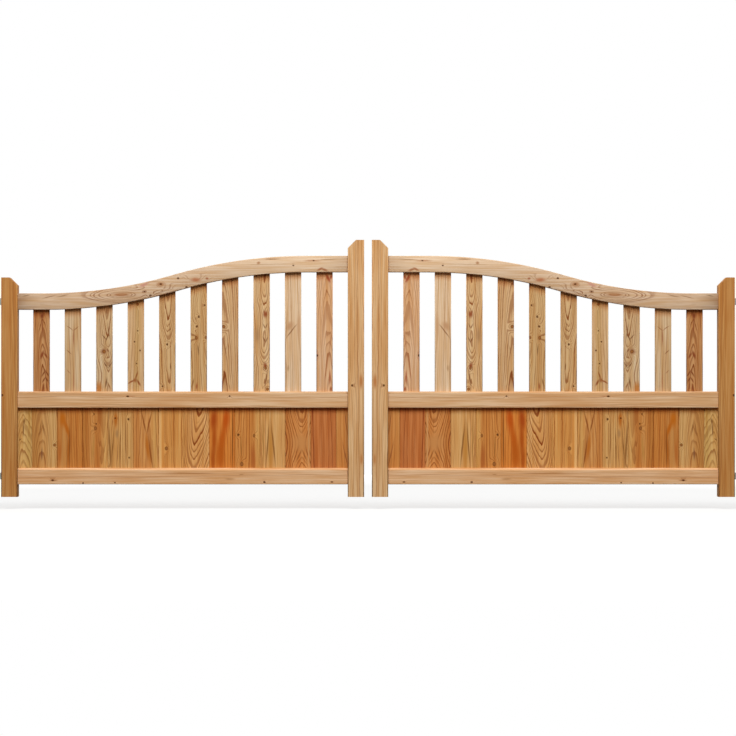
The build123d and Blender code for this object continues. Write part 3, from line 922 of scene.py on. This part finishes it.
class GATE_OT_hinges(bpy.types.Operator):
    """Finish the hinge hooks and eyes, and add the screws that hold their plates"""

    bl_idname = "gate.hinges"
    bl_label = "Hinges"

    def execute(self, context):
        hinge = context.scene.gate_hinges
        material = galvanised_steel()
        for side in SIDES:
            for level in LEVELS:
                for part, body in (("hook", "posts"), ("eye", f"{side}_leaf")):
                    node = f"{side}_{level}_{part}"
                    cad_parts[node].data.materials.clear()
                    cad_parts[node].data.materials.append(material)
                    bm = self.screws(hinge, part, *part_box(f"left_{level}_{part}"))
                    finish_piece(bm, side, "hinge_steel", material, f"{node}_screws", body)
        return {"FINISHED"}

    def screws(self, hinge, part, low, high):
        """Four screws in a plate: at the outer end of a hook, or at the inner end of an eye."""
        if part == "hook":
            face, screw = low.x + hinge.plate_thickness, self.coach_screw
        else:
            face, screw = high.x - hinge.plate_thickness, self.sunk_screw
        height = (low.z + high.z) / 2
        bm = bmesh.new()
        for across in (-hinge.screw_across, hinge.screw_across):
            for along in (-hinge.screw_along, hinge.screw_along):
                screw(bm, hinge, Vector((face, across, height + along)))
        return bm

    @staticmethod
    def head(bm, place, way, segments, radius, height):
        """A plain screw head that rises from its plate, one way or the other along the gate."""
        turn = Euler((0, way * math.pi / 2, 0))
        lying = Matrix.LocRotScale(place + ALONG * way * height / 2, turn, None)
        return bmesh.ops.create_cone(
            bm, cap_ends=True, segments=segments, radius1=radius, radius2=radius, depth=height, matrix=lying
        )["verts"]

    def coach_screw(self, bm, hinge, place):
        """A hexagon head, its outer rim eased."""
        head = self.head(bm, place, 1, HEX_SIDES, hinge.screw_radius, hinge.screw_height)
        outer = place.x + hinge.screw_height - NEAR
        edges = {edge for vert in head for edge in vert.link_edges}
        rim = [edge for edge in edges if min(vert.co.x for vert in edge.verts) > outer]
        ease(bm, rim, hinge.screw_ease, segments=2)

    def sunk_screw(self, bm, hinge, place):
        """A flush head, with a round socket sunk in it."""
        head = self.head(bm, place, -1, ROUND_SIDES, hinge.sunk_radius, hinge.sunk_height)
        faces = {face for vert in head for face in vert.link_faces}
        outer = min(faces, key=lambda face: face.calc_center_median().x)
        bmesh.ops.inset_individual(bm, faces=[outer], thickness=hinge.sunk_radius / 2)
        bmesh.ops.inset_individual(bm, faces=[outer], thickness=hinge.socket_taper)
        bmesh.ops.translate(bm, vec=ALONG * hinge.socket_depth, verts=outer.verts)


class GATE_OT_stage(bpy.types.Operator):
    """Lay the floor and set the light and the camera"""

    bl_idname = "gate.stage"
    bl_label = "Stage"

    def execute(self, context):
        scene = context.scene
        scene.view_settings.view_transform = "Standard"
        for step in (self.floor, self.sky, self.lamp, self.camera):
            step(scene, scene.gate_stage)
        return {"FINISHED"}

    @staticmethod
    def seen(add):
        """1 for a ray that shows a surface to the eye, straight or mirrored."""
        rays = add("LightPath")
        return add("Math", {0: rays["Is Camera Ray"], 1: rays["Is Glossy Ray"]}, operation="MAXIMUM")[0]

    def floor(self, scene, stage):
        """A floor that shows white and keeps the shadow, but throws back as little light as dark ground."""
        bm = bmesh.new()
        under = Matrix.Translation((GATE_MIDDLE, -stage.floor_front, -stage.floor_drop))
        bmesh.ops.create_grid(bm, x_segments=1, y_segments=1, size=stage.floor_reach, matrix=under)
        mesh = bpy.data.meshes.new("floor")
        bm.to_mesh(mesh)
        bm.free()
        material, add, shader = new_material("matt_paper")
        seen = self.seen(add)
        paper = [part * (1 - stage.floor_glow) for part in stage.floor_colour]
        gate = {0: add("TexCoord")["Object"], 1: (GATE_MIDDLE, 0, 0)}
        away = add("VectorMath", gate, operation="DISTANCE")["Value"]
        reach = {"From Min": stage.shadow_reach, "From Max": stage.white_reach, "To Min": stage.floor_glow}
        white = add("MapRange", {"Value": away, **reach}, **EASED)[0]
        finish = {
            "Base Color": add("Mix", {0: seen, 6: stage.ground_colour, 7: paper}, data_type="RGBA")[2],
            "Roughness": 1.0,
            "Specular IOR Level": 0.0,
            "Emission Color": WHITE,
            "Emission Strength": add("Math", {0: seen, 1: white}, operation="MULTIPLY")[0],
        }
        set_inputs(shader, finish)
        mesh.materials.append(material)
        floor = bpy.data.objects.new("floor", mesh)
        scene.collection.objects.link(floor)

    def sky(self, scene, stage):
        """A soft surround, dark below the horizon and brighter behind, which shows white to the eye."""
        world = bpy.data.worlds.new("studio")
        scene.world = world
        world.use_nodes = True
        add = partial(add_node, world.node_tree)
        way = add("SeparateXYZ", {0: add("TexCoord")["Generated"]})
        dome = {"Value": way["Z"], "From Min": -0.1, "From Max": 0.3, "To Max": stage.sky}
        wall = {"Value": way["Y"], "From Min": 0.5, "From Max": 0.95, "To Max": stage.back_sky}
        overhead, behind = (add("MapRange", part, **EASED)[0] for part in (dome, wall))
        around = add("Math", {0: overhead, 1: behind}, operation="ADD")[0]
        strength = add("MapRange", {"Value": self.seen(add), "To Min": around})[0]
        set_inputs(world.node_tree.nodes["Background"], {"Color": WHITE, "Strength": strength})

    @staticmethod
    def lamp(scene, stage):
        """A large softbox above and in front of the gate."""
        data = bpy.data.lights.new("softbox", "AREA")
        data.shape = "RECTANGLE"
        data.size = stage.lamp_width
        data.size_y = stage.lamp_depth
        data.energy = stage.lamp
        lamp = bpy.data.objects.new("softbox", data)
        scene.collection.objects.link(lamp)
        lamp.location = (GATE_MIDDLE, -stage.lamp_front, stage.lamp_height)
        aim = Vector((GATE_MIDDLE, 0, stage.lamp_aim)) - lamp.location
        lamp.rotation_euler = aim.to_track_quat("-Z", "Y").to_euler()

    @staticmethod
    def camera(scene, stage):
        """A camera with a long lens, square to the front of the gate."""
        data = bpy.data.cameras.new("camera")
        camera = bpy.data.objects.new("camera", data)
        scene.collection.objects.link(camera)
        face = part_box("left_hanging_stile")[0].y
        camera.location = (GATE_MIDDLE, face - stage.camera_distance, stage.camera_height)
        camera.rotation_euler = (math.pi / 2, 0, 0)
        data.lens = data.sensor_width * stage.camera_distance / stage.frame_width
        scene.camera = camera


STEPS = (
    GATE_OT_posts, GATE_OT_stiles, GATE_OT_straight_rails, GATE_OT_top_rails,
    GATE_OT_pales, GATE_OT_boards, GATE_OT_hinges, GATE_OT_stage,
)
GROUPS = {
    "gate_timber": GateTimberSettings,
    "gate_colours": GateColourSettings,
    "gate_hinges": GateHingeSettings,
    "gate_stage": GateStageSettings,
}


class GATE_PT_panel(bpy.types.Panel):
    """The gate's sizes, colours and steps"""

    bl_idname = "GATE_PT_panel"
    bl_label = "Swan-neck gates"
    bl_space_type = "VIEW_3D"
    bl_region_type = "UI"
    bl_category = "Gates"

    def draw(self, context):
        column = self.layout.column()
        for group, made in GROUPS.items():
            for name in made.__annotations__:
                column.prop(getattr(context.scene, group), name)
        for step in STEPS:
            column.operator(step.bl_idname)


CLASSES = (*GROUPS.values(), *STEPS, GATE_PT_panel)


def register():
    for made in CLASSES:
        bpy.utils.register_class(made)
    for group, made in GROUPS.items():
        setattr(bpy.types.Scene, group, bpy.props.PointerProperty(type=made))


def unregister():
    for group in GROUPS:
        delattr(bpy.types.Scene, group)
    for made in reversed(CLASSES):
        bpy.utils.unregister_class(made)


def main():
    register()
    bpy.ops.gate.posts()
    bpy.ops.gate.stiles()
    bpy.ops.gate.straight_rails()
    bpy.ops.gate.top_rails()
    bpy.ops.gate.pales()
    bpy.ops.gate.boards()
    bpy.ops.gate.hinges()
    bpy.ops.gate.stage()


if __name__ == "__main__":
    main()
